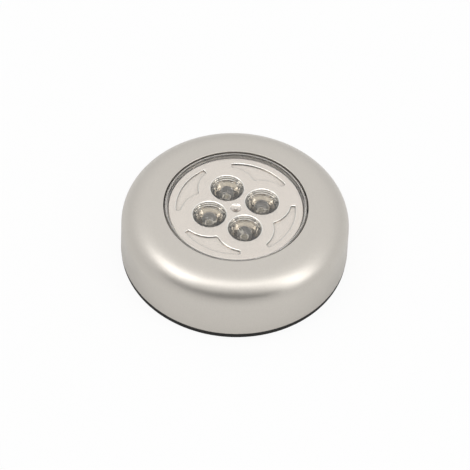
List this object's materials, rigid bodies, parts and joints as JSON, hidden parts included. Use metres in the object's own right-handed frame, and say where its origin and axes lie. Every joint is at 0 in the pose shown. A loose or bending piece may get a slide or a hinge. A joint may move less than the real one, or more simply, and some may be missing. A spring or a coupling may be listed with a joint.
{
  "type": "battery push light",
  "caption": "Low round stick-on light: a satin shell twists off its base plate, and a clear lens over bright cups with LEDs is pressed to switch it on or off.",
  "frame": {"origin": "centre of the underside, on the release liner's lower face, where the light stands on a table or meets a wall", "axes": "+Z from the base up through the lens, which on a wall points into the room; the pull tab of the liner points to -Y and the two wall screw holes lie along X"},
  "size_m": [0.075, 0.075, 0.0221],
  "materials": {
    "silver_paint": "moulded ABS with satin silver flake paint",
    "clear_acrylic": "clear gloss acrylic",
    "clear_epoxy": "clear gloss epoxy",
    "bright_chrome": "vacuum-metallised ABS, satin on the face and mirror bright in the cups",
    "black_plastic": "fine matt texture",
    "white_plastic": "natural matt",
    "foam_tape": "closed-cell foam with tacky faces",
    "liner_paper": "silicone-coated release film",
    "zinc_steel": "zinc plated",
    "nickel_strip": "nickel plated",
    "tinned_lead": "tinned",
    "cell_can": "bright nickel-plated can ends",
    "cell_sleeve": "plain gloss shrink sleeve",
    "board_laminate": "paper-phenolic laminate",
    "resistor_body": "lacquered",
    "red_insulation": "soft PVC",
    "black_insulation": "soft PVC"
  },
  "bodies": {
    "base": {"base_plate": "black_plastic", "adhesive_pad": "foam_tape", "release_liner": "liner_paper"},
    "housing": {"cover": "silver_paint", "battery_tray": "white_plastic", "tray_screw_1": "zinc_steel", "tray_screw_2": "zinc_steel", "tray_screw_3": "zinc_steel", "battery_cell_1": "cell_can", "battery_cell_2": "cell_can", "battery_cell_3": "cell_can", "battery_sleeve_1": "cell_sleeve", "battery_sleeve_2": "cell_sleeve", "battery_sleeve_3": "cell_sleeve", "terminal_positive": "nickel_strip", "terminal_negative": "nickel_strip", "link_contact_1": "nickel_strip", "link_contact_2": "nickel_strip", "contact_spring_1": "nickel_strip", "contact_spring_2": "nickel_strip", "contact_spring_3": "nickel_strip"},
    "push_lens": {"lens": "clear_acrylic", "reflector": "bright_chrome", "board_screw_1": "zinc_steel", "board_screw_2": "zinc_steel", "led_board": "board_laminate", "led_anode_1": "tinned_lead", "led_anode_2": "tinned_lead", "led_anode_3": "tinned_lead", "led_anode_4": "tinned_lead", "led_cathode_1": "tinned_lead", "led_cathode_2": "tinned_lead", "led_cathode_3": "tinned_lead", "led_cathode_4": "tinned_lead", "led_lens_1": "clear_epoxy", "led_lens_2": "clear_epoxy", "led_lens_3": "clear_epoxy", "led_lens_4": "clear_epoxy", "resistor": "resistor_body", "switch_body": "black_plastic", "switch_spring": "nickel_strip", "lead_wire_red": "red_insulation", "lead_wire_black": "black_insulation"},
    "plunger": {"switch_plunger": "white_plastic"}
  },
  "joints": [
    {"name": "base_twist", "type": "hinge", "parent": "base", "child": "housing", "pos_m": [0, 0, 0], "axis": [0, 0, 1], "range_deg": [0, 24]},
    {"name": "press", "type": "slide", "parent": "housing", "child": "push_lens", "axis": [0, 0, -1], "range_m": [0, 0.0015], "stiffness_N_per_m": 1000, "springref_m": -0.0015, "deforming": ["lead_wire_red", "lead_wire_black"]},
    {"name": "plunger_slide", "type": "slide", "parent": "push_lens", "child": "plunger", "axis": [0, 0, 1], "range_m": [0, 0.0015], "deforming": ["switch_spring"]}
  ],
  "couplings": [
    {"joint": "plunger_slide", "follows": "press", "ratio": 1}
  ]
}
